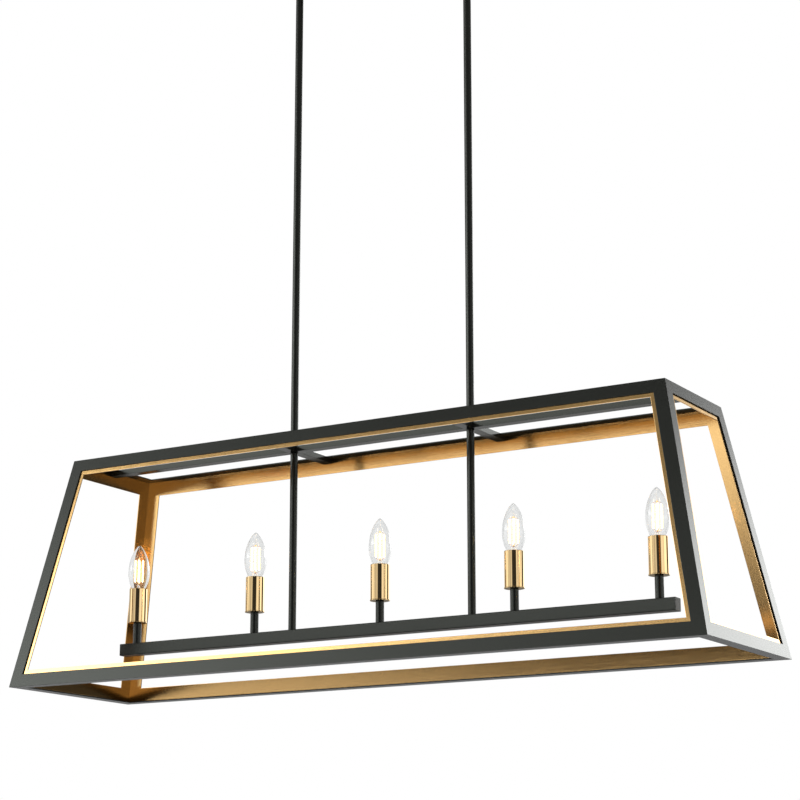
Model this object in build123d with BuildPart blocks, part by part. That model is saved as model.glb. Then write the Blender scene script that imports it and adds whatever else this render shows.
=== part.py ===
from build123d import *
import math
import os

os.makedirs("parts", exist_ok=True)

# A linear island pendant, in millimetres. X runs along the fixture, Y from front to rear,
# +Z is up. The origin is the middle of the bracket's top face, where it meets the ceiling,
# so the whole fixture hangs below zero.

# Open frame: a four-sided cage, longer and deeper at the bottom than at the top
frame_bottom_length = 1180.0
frame_bottom_depth = 302.0
frame_top_length = 1037.0
frame_top_depth = 198.0
frame_height = 365.0

# Black angle of the frame, and the gold liner behind it that stands proud as a lip
angle_leg = 20.0
top_rail_leg = 18.5
angle_thickness = 2.0
liner_thickness = 1.5
liner_lip = 6.0

# Flat bars that cross the top of the frame
bar_stock_width = 16.0
bar_stock_height = 9.0

# Rods
rod_spacing = 316.0
rod_diameter = 12.0
rod_wall = 1.0
upper_rod_length = 800.0

# Threaded nipples that join rods, bars, stems, cups and sockets
nipple_diameter = 9.7
nipple_bore = 7.0
nipple_clearance = 0.15
nipple_engagement = 15.0

# Canopy and the bracket behind it
canopy_length = 457.0
canopy_depth = 121.0
canopy_height = 25.4
canopy_wall = 1.2
canopy_corner = 8.0
canopy_edge = 3.0
bracket_length = 430.0
bracket_width = 32.0
bracket_thickness = 2.0
bracket_corner = 8.0
box_screw_spacing = 79.4
box_slot_length = 15.0
box_slot_width = 5.0
anchor_spacing = 250.0
anchor_hole = 5.5
stud_spacing = 410.0
stud_diameter = 4.0
cap_nut_diameter = 11.0
cap_nut_height = 10.0
cap_nut_thread = 7.0

# Hang-straight swivels: a ball on each rod in a collar under the canopy
ball_radius = 9.0
ball_clearance = 0.05
ball_crown = 6.0
ball_drop = 12.0
swivel_radius = 17.0
swivel_below_ball = 10.0
swivel_mouth_wall = 2.0
swivel_band = 5.0
seat_depth = 5.5
flare_angle = 22.0
neck_radius = 10.0
neck_clearance = 0.15
neck_standout = 1.0
ring_nut_radius = 14.5
ring_nut_height = 4.0
rod_gap_below_ball = 13.0

# Candle bar: square tube along the middle of the frame
candle_bar_size = 19.0
candle_bar_wall = 1.4
candle_bar_corner = 1.6
candle_bar_length = 969.0
candle_bar_rise = 58.0
end_cap_thickness = 1.5
end_cap_plug = 10.0
end_cap_clearance = 0.1
lock_nut_radius = 8.0
lock_nut_height = 4.0
nipple_standout = 2.0

# Candles
candle_count = 5
candle_spacing = 228.6
stem_diameter = 13.0
stem_wall = 1.5
stem_height = 33.0
cup_diameter = 29.0
cup_height = 55.0
cup_wall = 1.0
cup_floor = 1.5
cup_foot_diameter = 30.4
cup_foot_height = 1.6
socket_diameter = 22.0
socket_height = 44.0
socket_mouth_chamfer = 0.8

# Candle bulb with a 12 mm screw base
cap_diameter = 11.9
cap_length = 17.0
cap_wall = 0.4
cap_thread_pitch = 2.54
cap_thread_depth = 0.3
cap_clearance = 0.05
insulator_height = 2.5
contact_height = 1.0
contact_diameter = 4.4
insulator_step = 1.0
contact_gap = 0.3
glass_above_cup = 71.0
glass_diameter = 34.7
glass_wall = 0.9
glass_clearance = 0.05
glass_neck_inside_cap = 10.0
glass_neck_above_cap = 1.5
glass_foot_gap = 0.5
# Where the glass swells above the cup: share of its radius, share of its height there
glass_lower_curve = [(0.61, 0.0), (0.86, 0.15)]
glass_widest = 0.37
glass_upper_curve = [(0.86, 0.65), (0.38, 0.915)]
filament_length = 36.0
filament_below_tip = 24.0
filament_circle = 6.0
filament_diameter = 1.8
filament_count = 4
filament_turn = 31.0
mount_diameter = 4.4
mount_wire = 0.7

# Wiring
loom_diameter = 2.8
loom_floor_gap = 0.3
loom_bend = 8.0
lead_bend = 12.0
lead_run = 96.0
lead_below_bracket = 9.0
splice_diameter = 5.6
splice_length = 14.0
connector_length = 20.0
connector_mouth_diameter = 12.0
connector_tip_diameter = 8.0

# Levels, all from the ceiling down
canopy_underside = -canopy_height
ball_centre = canopy_underside - ball_drop
rod_top = ball_centre - rod_gap_below_ball
frame_top = rod_top - upper_rod_length
frame_base = frame_top - frame_height
bar_stock_underside = frame_top - bar_stock_height
candle_bar_underside = frame_base + candle_bar_rise
candle_bar_top = candle_bar_underside + candle_bar_size
cup_base = candle_bar_top + stem_height
cup_mouth = cup_base + cup_height
socket_base = cup_base + cup_floor
socket_top = socket_base + socket_height
cap_base = socket_top - cap_length
contact_tip = cap_base - insulator_height - contact_height
bulb_tip = cup_mouth + glass_above_cup
loom_level = candle_bar_underside + candle_bar_wall + loom_floor_gap + splice_diameter / 2

# Radii that several pieces share
nipple_radius = nipple_diameter / 2
nipple_hole_radius = nipple_radius + nipple_clearance
socket_bore_radius = cap_diameter / 2 + cap_clearance
neck_glass_radius = cap_diameter / 2 - cap_wall - glass_clearance
nut_underside = candle_bar_top - candle_bar_wall - lock_nut_height
nipple_foot = nut_underside - nipple_standout

rod_places = {"left": -rod_spacing / 2, "right": rod_spacing / 2}
candle_places = [(i - (candle_count - 1) / 2) * candle_spacing for i in range(candle_count)]
pieces = {}


# The frame: black angle along all twelve edges, mitred at the corners, with gold liners behind

end_lean = (frame_bottom_length - frame_top_length) / 2
side_lean = (frame_bottom_depth - frame_top_depth) / 2

# The six faces of the cage, each facing out
faces = {
    "front": Plane((0, -frame_bottom_depth / 2, frame_base), z_dir=(0, -frame_height, side_lean)),
    "rear": Plane((0, frame_bottom_depth / 2, frame_base), z_dir=(0, frame_height, side_lean)),
    "left": Plane((-frame_bottom_length / 2, 0, frame_base), z_dir=(-frame_height, 0, end_lean)),
    "right": Plane((frame_bottom_length / 2, 0, frame_base), z_dir=(frame_height, 0, end_lean)),
    "top": Plane((0, 0, frame_top), z_dir=(0, 0, 1)),
    "bottom": Plane((0, 0, frame_base), z_dir=(0, 0, -1)),
}


def meeting_point(first, second, third, inset=0.0):
    """Where three planes meet once each has moved back by the inset."""
    n1, n2, n3 = first.z_dir, second.z_dir, third.z_dir
    reach = [p.origin.dot(p.z_dir) - inset for p in (first, second, third)]
    total = n2.cross(n3) * reach[0] + n3.cross(n1) * reach[1] + n1.cross(n2) * reach[2]
    return total * (1 / n1.dot(n2.cross(n3)))


def inward(face, edge_with):
    """Direction that runs in a face, square to its edge with another face, into the cage."""
    normal = faces[face].z_dir
    other = faces[edge_with].z_dir
    return (other - normal * other.dot(normal)).normalized() * -1


def leg_width(edge_with):
    """Width of the black leg that lies along the edge with this face."""
    return top_rail_leg if edge_with == "top" else angle_leg


def leg_edge(face, edge_with, corner, extra):
    """Plane square to a face, along the inner edge of the leg that borders another face."""
    direction = inward(face, edge_with)
    return Plane(corner + direction * (leg_width(edge_with) + extra), z_dir=direction)


def mitre(face, along, end, extra, middle):
    """Mitre between the members of one face that run along two of its edges."""
    corner = meeting_point(faces[face], faces[along], faces[end])
    deep = meeting_point(faces[face], faces[along], faces[end], angle_thickness)
    inner = meeting_point(
        faces[face], leg_edge(face, along, corner, extra), leg_edge(face, end, corner, extra)
    )
    normal = (deep - corner).cross(inner - corner)
    if normal.dot(middle - corner) < 0:
        normal = normal * -1
    return Plane(corner, z_dir=normal)


def frame_member(first, second, ends, section, extra=0.0):
    """One length of stock along the edge of two faces, mitred at both ends."""
    start = meeting_point(faces[first], faces[second], faces[ends[0]])
    finish = meeting_point(faces[first], faces[second], faces[ends[1]])
    middle = (start + finish) * 0.5
    across = Plane(middle, z_dir=finish - start)
    corners = [across.to_local_coords(point) for point in section(first, second, across, middle)]
    with BuildPart() as member:
        with BuildSketch(across):
            with BuildLine():
                Polyline(*[(corner.X, corner.Y) for corner in corners], close=True)
            make_face()
        extrude(amount=(finish - start).length, both=True)
        for end in ends:
            split(bisect_by=mitre(first, second, end, extra, middle), keep=Keep.TOP)
            split(bisect_by=mitre(second, first, end, extra, middle), keep=Keep.TOP)
    return member.part


def black_section(first, second, across, edge):
    """Section of the black angle, its outer corner on the edge."""
    first_leg = inward(first, second) * leg_width(second)
    second_leg = inward(second, first) * leg_width(first)
    return [
        edge,
        edge + first_leg,
        edge + first_leg - faces[first].z_dir * angle_thickness,
        meeting_point(faces[first], faces[second], across, angle_thickness),
        edge + second_leg - faces[second].z_dir * angle_thickness,
        edge + second_leg,
    ]


def liner_leg(face, edge_with, edge):
    """Outer and inner edge of the liner leg in a face, a lip wider than the black leg."""
    reach = edge + inward(face, edge_with) * (leg_width(edge_with) + liner_lip)
    outer = reach - faces[face].z_dir * angle_thickness
    inner = outer - faces[face].z_dir * liner_thickness
    return [outer, inner]


def liner_angle_section(first, second, across, edge):
    """Section of a post's liner: an angle nested in the black one."""
    first_outer, first_inner = liner_leg(first, second, edge)
    second_outer, second_inner = liner_leg(second, first, edge)
    liner_depth = angle_thickness + liner_thickness
    return [
        meeting_point(faces[first], faces[second], across, angle_thickness),
        first_outer,
        first_inner,
        meeting_point(faces[first], faces[second], across, liner_depth),
        second_inner,
        second_outer,
    ]


def liner_strip_section(first, second, across, edge):
    """Section of a rail's liner: a flat strip behind the leg in the cage's side."""
    outer, inner = liner_leg(first, second, edge)
    heel = meeting_point(faces[first], faces[second], across, angle_thickness)
    flange = Plane(heel, z_dir=faces[second].z_dir)
    face_inside = Plane(inner, z_dir=faces[first].z_dir)
    return [heel, outer, inner, meeting_point(face_inside, flange, across)]


side_ends = {
    "front": ("left", "right"),
    "rear": ("left", "right"),
    "left": ("front", "rear"),
    "right": ("front", "rear"),
}

for level in ("top", "bottom"):
    for side, ends in side_ends.items():
        pieces[f"{level}_rail_{side}"] = frame_member(side, level, ends, black_section)

for side in ("front", "rear"):
    for end in ("left", "right"):
        post_ends = ("bottom", "top")
        pieces[f"post_{side}_{end}"] = frame_member(side, end, post_ends, black_section)
        pieces[f"post_liner_{side}_{end}"] = frame_member(
            side, end, post_ends, liner_angle_section, liner_lip
        )

for level in ("top", "bottom"):
    for group, sides in {"side": ("front", "rear"), "end": ("left", "right")}.items():
        with BuildPart() as liner_strips:
            for side in sides:
                add(frame_member(side, level, side_ends[side], liner_strip_section, liner_lip))
        pieces[f"{level}_{group}_liners"] = liner_strips.part


# Spine and crossbars: flat bars flush with the frame's top, let in under its flanges

def inside_liner(name):
    """The inner face of a liner, facing into the cage."""
    face = faces[name]
    depth = angle_thickness + liner_thickness
    return Plane(face.origin - face.z_dir * depth, z_dir=face.z_dir * -1)


flange_gap_length = frame_top_length - 2 * angle_leg
flange_gap_depth = frame_top_depth - 2 * angle_leg
rod_grid = [(x, 0) for x in rod_places.values()]

with BuildPart() as spine:
    with BuildSketch(Plane.XY.offset(frame_top)):
        Rectangle(flange_gap_length, bar_stock_width)
    extrude(amount=-bar_stock_height)
    with BuildSketch(Plane.XY.offset(frame_top - angle_thickness)):
        Rectangle(frame_bottom_length, bar_stock_width)
    extrude(amount=angle_thickness - bar_stock_height)
    split(bisect_by=inside_liner("left"), keep=Keep.TOP)
    split(bisect_by=inside_liner("right"), keep=Keep.TOP)
    with BuildSketch(Plane.XY.offset(bar_stock_underside)):
        with Locations(*rod_grid):
            Rectangle(bar_stock_width, bar_stock_width)
    extrude(amount=bar_stock_height / 2, mode=Mode.SUBTRACT)
    with BuildSketch(Plane.XY.offset(frame_top)):
        with Locations(*rod_grid):
            Circle(nipple_hole_radius)
    extrude(amount=-bar_stock_height, mode=Mode.SUBTRACT)
pieces["spine"] = spine.part

for hand, x in rod_places.items():
    with BuildPart() as crossbar:
        with BuildSketch(Plane.XY.offset(frame_top)):
            with Locations((x, 0)):
                Rectangle(bar_stock_width, flange_gap_depth)
        extrude(amount=-bar_stock_height)
        with BuildSketch(Plane.XY.offset(frame_top - angle_thickness)):
            with Locations((x, 0)):
                Rectangle(bar_stock_width, frame_bottom_depth)
        extrude(amount=angle_thickness - bar_stock_height)
        split(bisect_by=inside_liner("front"), keep=Keep.TOP)
        split(bisect_by=inside_liner("rear"), keep=Keep.TOP)
        with BuildSketch(Plane.XY.offset(frame_top)):
            with Locations((x, 0)):
                Rectangle(bar_stock_width, bar_stock_width)
        extrude(amount=-bar_stock_height / 2, mode=Mode.SUBTRACT)
        with BuildSketch(Plane.XY.offset(bar_stock_underside)):
            with Locations((x, 0)):
                Circle(nipple_hole_radius)
        extrude(amount=bar_stock_height, mode=Mode.SUBTRACT)
    pieces[f"crossbar_{hand}"] = crossbar.part


# Rods: round tube, threaded inside at both ends

def tube(places, bottom, top, outer_radius, inner_radius):
    """Upright round tubes of one size, one at each place."""
    with BuildPart() as upright_tubes:
        with BuildSketch(Plane.XY.offset(bottom)):
            with Locations(*places):
                Circle(outer_radius)
                Circle(inner_radius, mode=Mode.SUBTRACT)
        extrude(amount=top - bottom)
    return upright_tubes.part


rod_radius = rod_diameter / 2
rod_bore_radius = rod_radius - rod_wall
for hand, x in rod_places.items():
    pieces[f"upper_rod_{hand}"] = tube([(x, 0)], frame_top, rod_top, rod_radius, rod_bore_radius)
    pieces[f"lower_rod_{hand}"] = tube(
        [(x, 0)], candle_bar_top, bar_stock_underside, rod_radius, rod_bore_radius
    )

with BuildPart() as rod_nipples:
    for foot, head in (
        (nipple_foot, candle_bar_top + nipple_engagement),
        (bar_stock_underside - nipple_engagement, frame_top + nipple_engagement),
    ):
        add(tube(rod_grid, foot, head, nipple_radius, nipple_bore / 2))
pieces["rod_nipples"] = rod_nipples.part


# Candle bar: square tube with plugged ends, drilled for the rods and the candles

candle_grid = [(x, 0) for x in candle_places]
tube_length = candle_bar_length - 2 * end_cap_thickness
candle_bar_bore = candle_bar_size - 2 * candle_bar_wall
bar_middle = candle_bar_underside + candle_bar_size / 2
bar_start = Plane((-tube_length / 2, 0, bar_middle), x_dir=(0, 1, 0), z_dir=(1, 0, 0))

with BuildPart() as candle_bar:
    with BuildSketch(bar_start):
        RectangleRounded(candle_bar_size, candle_bar_size, candle_bar_corner)
        Rectangle(candle_bar_bore, candle_bar_bore, mode=Mode.SUBTRACT)
    extrude(amount=tube_length)
    with BuildSketch(Plane.XY.offset(candle_bar_top)):
        with Locations(*rod_grid, *candle_grid):
            Circle(nipple_hole_radius)
    extrude(amount=-2 * candle_bar_wall, mode=Mode.SUBTRACT)
pieces["candle_bar"] = candle_bar.part

plug_size = candle_bar_bore - 2 * end_cap_clearance
with BuildPart() as bar_end_caps:
    with BuildSketch(bar_start):
        RectangleRounded(candle_bar_size, candle_bar_size, candle_bar_corner)
    extrude(amount=-end_cap_thickness)
    with BuildSketch(bar_start):
        Rectangle(plug_size, plug_size)
    extrude(amount=end_cap_plug)
    mirror(about=Plane.YZ)
pieces["bar_end_caps"] = bar_end_caps.part

with BuildPart() as bar_lock_nuts:
    with BuildSketch(Plane.XY.offset(nut_underside)):
        with Locations(*rod_grid, *candle_grid):
            RegularPolygon(lock_nut_radius, 6)
            Circle(nipple_radius, mode=Mode.SUBTRACT)
    extrude(amount=lock_nut_height)
pieces["bar_lock_nuts"] = bar_lock_nuts.part


# Candles: stem, polished cup, lamp socket and the nipple that clamps them to the bar

stem_radius = stem_diameter / 2
pieces["candle_stems"] = tube(
    candle_grid, candle_bar_top, cup_base, stem_radius, stem_radius - stem_wall
)
pieces["stem_nipples"] = tube(
    candle_grid,
    nipple_foot,
    socket_base + nipple_engagement,
    nipple_radius,
    nipple_bore / 2,
)

for number, x in enumerate(candle_places, start=1):
    with BuildPart() as candle_cup:
        with BuildSketch(Plane.XY.offset(cup_base)):
            with Locations((x, 0)):
                Circle(cup_diameter / 2)
        extrude(amount=cup_height)
        with BuildSketch(Plane.XY.offset(cup_base)):
            with Locations((x, 0)):
                Circle(cup_foot_diameter / 2)
        extrude(amount=cup_foot_height)
        with BuildSketch(Plane.XY.offset(socket_base)):
            with Locations((x, 0)):
                Circle(cup_diameter / 2 - cup_wall)
        extrude(amount=cup_height, mode=Mode.SUBTRACT)
        with BuildSketch(Plane.XY.offset(cup_base)):
            with Locations((x, 0)):
                Circle(nipple_hole_radius)
        extrude(amount=cup_floor, mode=Mode.SUBTRACT)
    pieces[f"candle_cup_{number}"] = candle_cup.part

terminal_depth = nipple_engagement + nipple_standout
socket_bore_depth = socket_top - contact_tip + contact_gap
with BuildPart() as lamp_sockets:
    with BuildSketch(Plane.XY.offset(socket_base)):
        with Locations(*candle_grid):
            Circle(socket_diameter / 2)
    extrude(amount=socket_height)
    with BuildSketch(Plane.XY.offset(socket_base)):
        with Locations(*candle_grid):
            Circle(nipple_hole_radius)
    extrude(amount=terminal_depth, mode=Mode.SUBTRACT)
    with BuildSketch(Plane.XY.offset(socket_top)):
        with Locations(*candle_grid):
            Circle(socket_bore_radius)
    extrude(amount=-socket_bore_depth, mode=Mode.SUBTRACT)
    mouths = lamp_sockets.edges().filter_by(GeomType.CIRCLE).group_by(Axis.Z)[-1]
    chamfer(mouths.filter_by(lambda rim: rim.radius < socket_diameter / 2), socket_mouth_chamfer)
pieces["lamp_sockets"] = lamp_sockets.part


# Candle bulb: a thin glass drawn to a blunt tip, and a screw base with four filaments

glass_radius = glass_diameter / 2
glass_foot = socket_top - glass_neck_inside_cap
neck_top = socket_top + glass_neck_above_cap


def swell(shares, skin):
    """Points on the glass, as radius and height, moved in by the skin."""
    return [
        (radius * glass_radius - skin, cup_mouth + height * glass_above_cup - skin * height)
        for radius, height in shares
    ]


def glass_half(skin):
    """Half profile of the glass from its axis out, moved in by the skin."""
    neck_radius_here = neck_glass_radius - skin
    widest = (glass_radius - skin, cup_mouth + glass_widest * glass_above_cup)
    tip = (0, bulb_tip - skin)
    with BuildLine() as outline:
        Polyline(tip, (0, glass_foot), (neck_radius_here, glass_foot), (neck_radius_here, neck_top))
        Spline(
            (neck_radius_here, neck_top),
            *swell(glass_lower_curve, skin),
            widest,
            tangents=((0, 1), (0, 1)),
        )
        Spline(widest, *swell(glass_upper_curve, skin), tip, tangents=((0, 1), (-1, 0)))
    return outline.line


cap_radius = cap_diameter / 2
thread_turns = int((cap_length - cap_thread_pitch) / cap_thread_pitch)
thread_start = cap_base + cap_thread_pitch / 2
cap_floor = glass_foot - glass_foot_gap
filament_top = bulb_tip - filament_below_tip
filament_foot = filament_top - filament_length


def base_outline():
    """Half profile of the screw base: contact, insulator, threaded shell and glass mount."""
    contact_radius = contact_diameter / 2
    mount_radius = mount_diameter / 2
    root_radius = cap_radius - cap_thread_depth
    points = [
        (0, contact_tip),
        (contact_radius, contact_tip),
        (contact_radius, contact_tip + contact_height),
        (contact_radius + insulator_step, contact_tip + contact_height),
        (root_radius, cap_base),
    ]
    for turn in range(thread_turns):
        foot = thread_start + turn * cap_thread_pitch
        points.append((root_radius, foot))
        points.append((cap_radius, foot + cap_thread_pitch / 2))
    points += [
        (root_radius, thread_start + thread_turns * cap_thread_pitch),
        (root_radius, socket_top),
        (cap_radius - cap_wall, socket_top),
        (cap_radius - cap_wall, cap_floor),
        (mount_radius, cap_floor),
        (mount_radius, filament_foot),
        (0, filament_foot),
    ]
    return points


for number, x in enumerate(candle_places, start=1):
    section = Plane((x, 0, 0), x_dir=(1, 0, 0), z_dir=(0, -1, 0))
    axle = Axis((x, 0, 0), (0, 0, 1))
    with BuildPart() as bulb_glass:
        with BuildSketch(section):
            add(glass_half(0))
            make_face()
        revolve(axis=axle)
        with BuildSketch(section):
            add(glass_half(glass_wall))
            make_face()
        revolve(axis=axle, mode=Mode.SUBTRACT)
    pieces[f"bulb_glass_{number}"] = bulb_glass.part

    with BuildPart() as bulb_base:
        with BuildSketch(section):
            with BuildLine():
                Polyline(*base_outline(), close=True)
            make_face()
        revolve(axis=axle)
        with BuildSketch(Plane.XY.offset(filament_foot)):
            with Locations((x, 0)):
                with PolarLocations(filament_circle, filament_count, start_angle=filament_turn):
                    Circle(filament_diameter / 2)
        extrude(amount=filament_length)
        for level in (filament_foot - mount_wire, filament_top):
            with BuildSketch(Plane.XY.offset(level)):
                for angle in (filament_turn, filament_turn + 90):
                    with Locations(Location((x, 0, 0), (0, 0, angle))):
                        Rectangle(2 * filament_circle + mount_wire, mount_wire)
            extrude(amount=mount_wire)
        with BuildSketch(Plane.XY.offset(filament_foot - mount_wire)):
            with Locations((x, 0)):
                Circle(mount_wire / 2)
        extrude(amount=filament_length + 2 * mount_wire)
    pieces[f"bulb_base_{number}"] = bulb_base.part


# Hang-straight swivels: a collar clamped under the canopy and a ball screwed into each rod

seat_radius = ball_radius + ball_clearance
seat_lip = math.sqrt(seat_radius**2 - seat_depth**2)
flare_run = swivel_below_ball - seat_depth
mouth_radius = seat_lip + flare_run * math.tan(math.radians(flare_angle))
swivel_foot = ball_centre - swivel_below_ball
neck_top_level = canopy_underside + canopy_wall + ring_nut_height + neck_standout
seat_middle = math.asin(seat_depth / seat_radius) / 2
crown_radius = math.sqrt(ball_radius**2 - ball_crown**2)
stem_joins = math.sqrt(ball_radius**2 - nipple_radius**2)
ball_bore_radius = nipple_bore / 2

for hand, x in rod_places.items():
    section = Plane((x, 0, 0), x_dir=(1, 0, 0), z_dir=(0, -1, 0))
    axle = Axis((x, 0, 0), (0, 0, 1))
    with BuildPart() as swivel_collar:
        with BuildSketch(section):
            with BuildLine():
                Polyline(
                    (seat_radius, ball_centre),
                    (seat_radius, neck_top_level),
                    (neck_radius, neck_top_level),
                    (neck_radius, canopy_underside),
                    (swivel_radius, canopy_underside),
                    (swivel_radius, canopy_underside - swivel_band),
                    (mouth_radius + swivel_mouth_wall, swivel_foot),
                    (mouth_radius, swivel_foot),
                    (seat_lip, ball_centre - seat_depth),
                )
                ThreePointArc(
                    (seat_lip, ball_centre - seat_depth),
                    (
                        seat_radius * math.cos(seat_middle),
                        ball_centre - seat_radius * math.sin(seat_middle),
                    ),
                    (seat_radius, ball_centre),
                )
            make_face()
        revolve(axis=axle)
    pieces[f"swivel_collar_{hand}"] = swivel_collar.part

    with BuildPart() as swivel_ball:
        with BuildSketch(section):
            with BuildLine():
                ThreePointArc(
                    (nipple_radius, ball_centre - stem_joins),
                    (ball_radius, ball_centre),
                    (crown_radius, ball_centre + ball_crown),
                )
                Polyline(
                    (crown_radius, ball_centre + ball_crown),
                    (ball_bore_radius, ball_centre + ball_crown),
                    (ball_bore_radius, rod_top - nipple_engagement),
                    (nipple_radius, rod_top - nipple_engagement),
                    (nipple_radius, ball_centre - stem_joins),
                )
            make_face()
        revolve(axis=axle)
    pieces[f"swivel_ball_{hand}"] = swivel_ball.part

with BuildPart() as swivel_ring_nuts:
    with BuildSketch(Plane.XY.offset(canopy_underside + canopy_wall)):
        with Locations(*rod_grid):
            RegularPolygon(ring_nut_radius, 6)
            Circle(neck_radius, mode=Mode.SUBTRACT)
    extrude(amount=ring_nut_height)
pieces["swivel_ring_nuts"] = swivel_ring_nuts.part


# Canopy: a shallow tray that hides the bracket, held up by two studs and cap nuts

stud_radius = stud_diameter / 2
stud_grid = [(-stud_spacing / 2, 0), (stud_spacing / 2, 0)]
stud_foot = canopy_underside - cap_nut_thread

with BuildPart() as canopy:
    with BuildSketch(Plane.XY):
        RectangleRounded(canopy_length, canopy_depth, canopy_corner)
    extrude(amount=-canopy_height)
    fillet(canopy.edges().group_by(Axis.Z)[0], canopy_edge)
    with BuildSketch(Plane.XY.offset(canopy_underside + canopy_wall)):
        RectangleRounded(
            canopy_length - 2 * canopy_wall,
            canopy_depth - 2 * canopy_wall,
            canopy_corner - canopy_wall,
        )
    extrude(amount=canopy_height, mode=Mode.SUBTRACT)
    with BuildSketch(Plane.XY.offset(canopy_underside)):
        with Locations(*rod_grid):
            Circle(neck_radius + neck_clearance)
        with Locations(*stud_grid):
            Circle(stud_radius + neck_clearance)
    extrude(amount=canopy_wall, mode=Mode.SUBTRACT)
pieces["canopy"] = canopy.part

with BuildPart() as ceiling_bracket:
    with BuildSketch(Plane.XY):
        RectangleRounded(bracket_length, bracket_width, bracket_corner)
        with GridLocations(box_screw_spacing, 0, 2, 1):
            SlotOverall(box_slot_length, box_slot_width, mode=Mode.SUBTRACT)
        with GridLocations(anchor_spacing, 0, 2, 1):
            Circle(anchor_hole / 2, mode=Mode.SUBTRACT)
        with Locations(*stud_grid):
            Circle(stud_radius, mode=Mode.SUBTRACT)
    extrude(amount=-bracket_thickness)
pieces["ceiling_bracket"] = ceiling_bracket.part

with BuildPart() as canopy_studs:
    with BuildSketch(Plane.XY):
        with Locations(*stud_grid):
            Circle(stud_radius)
    extrude(amount=stud_foot)
pieces["canopy_studs"] = canopy_studs.part

with BuildPart() as canopy_cap_nuts:
    with BuildSketch(Plane.XY.offset(canopy_underside)):
        with Locations(*stud_grid):
            Circle(cap_nut_diameter / 2)
    extrude(amount=-cap_nut_height)
    fillet(canopy_cap_nuts.edges().group_by(Axis.Z)[0], cap_nut_diameter / 4)
    with BuildSketch(Plane.XY.offset(canopy_underside)):
        with Locations(*stud_grid):
            Circle(stud_radius)
    extrude(amount=-cap_nut_thread, mode=Mode.SUBTRACT)
pieces["canopy_cap_nuts"] = canopy_cap_nuts.part


# Wiring: a lead down through the left rods, and a loom along the bar and up into each socket

left_rod = rod_places["left"]
lead_level = -bracket_thickness - lead_below_bracket
wire_top = socket_base + terminal_depth
loom_radius = loom_diameter / 2
first_candle, last_candle = candle_places[0], candle_places[-1]

with BuildPart() as wiring_loom:
    with BuildLine() as loom_route:
        FilletPolyline(
            (first_candle, 0, wire_top),
            (first_candle, 0, loom_level),
            (last_candle, 0, loom_level),
            (last_candle, 0, wire_top),
            radius=loom_bend,
        )
    with BuildSketch(Plane((first_candle, 0, wire_top), z_dir=(0, 0, -1))):
        Circle(loom_radius)
    sweep(path=loom_route.wires()[0])
    with BuildLine() as lead_route:
        FilletPolyline(
            (left_rod, 0, loom_level),
            (left_rod, 0, lead_level),
            (left_rod + lead_run, 0, lead_level),
            radius=lead_bend,
        )
    with BuildSketch(Plane((left_rod, 0, loom_level), z_dir=(0, 0, 1))):
        Circle(loom_radius)
    sweep(path=lead_route.wires()[0])
    with BuildSketch(Plane.XY.offset(loom_level)):
        with Locations(*candle_grid[1:-1]):
            Circle(loom_radius)
    extrude(amount=wire_top - loom_level)
    for x in (left_rod, *candle_places[1:-1]):
        with BuildSketch(Plane((x - splice_length / 2, 0, loom_level), z_dir=(1, 0, 0))):
            Circle(splice_diameter / 2)
        extrude(amount=splice_length)
pieces["wiring_loom"] = wiring_loom.part

lead_end = left_rod + lead_run
with BuildPart() as lead_connector:
    with BuildSketch(Plane((lead_end, 0, lead_level), z_dir=(1, 0, 0))):
        Circle(connector_mouth_diameter / 2)
    with BuildSketch(Plane((lead_end + connector_length, 0, lead_level), z_dir=(1, 0, 0))):
        Circle(connector_tip_diameter / 2)
    loft()
pieces["lead_connector"] = lead_connector.part


for name, piece in pieces.items():
    piece.label = name
    export_step(piece, f"parts/{name}.step")
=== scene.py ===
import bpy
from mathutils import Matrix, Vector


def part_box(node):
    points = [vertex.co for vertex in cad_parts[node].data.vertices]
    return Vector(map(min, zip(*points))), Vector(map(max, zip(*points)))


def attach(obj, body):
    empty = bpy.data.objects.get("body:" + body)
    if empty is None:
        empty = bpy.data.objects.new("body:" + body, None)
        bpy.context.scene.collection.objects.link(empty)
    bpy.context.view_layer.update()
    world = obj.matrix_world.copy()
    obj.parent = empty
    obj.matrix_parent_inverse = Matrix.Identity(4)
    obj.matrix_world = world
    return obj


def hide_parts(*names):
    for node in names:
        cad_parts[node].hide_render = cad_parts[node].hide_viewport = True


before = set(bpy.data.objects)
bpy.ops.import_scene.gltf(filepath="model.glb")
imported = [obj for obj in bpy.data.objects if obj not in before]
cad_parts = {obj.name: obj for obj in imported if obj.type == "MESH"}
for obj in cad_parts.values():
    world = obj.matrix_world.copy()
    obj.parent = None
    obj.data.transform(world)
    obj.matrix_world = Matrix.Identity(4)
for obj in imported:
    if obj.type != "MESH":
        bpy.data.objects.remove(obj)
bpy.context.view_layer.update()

import math

import bmesh
import bpy
from mathutils import Matrix, Vector
from mathutils.geometry import interpolate_bezier


# ---- Black cage ----
# Twelve lengths of rolled steel angle, mitred, welded and ground smooth at the corners, then
# powder coated satin black. The coat rounds every long edge a little.

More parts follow.
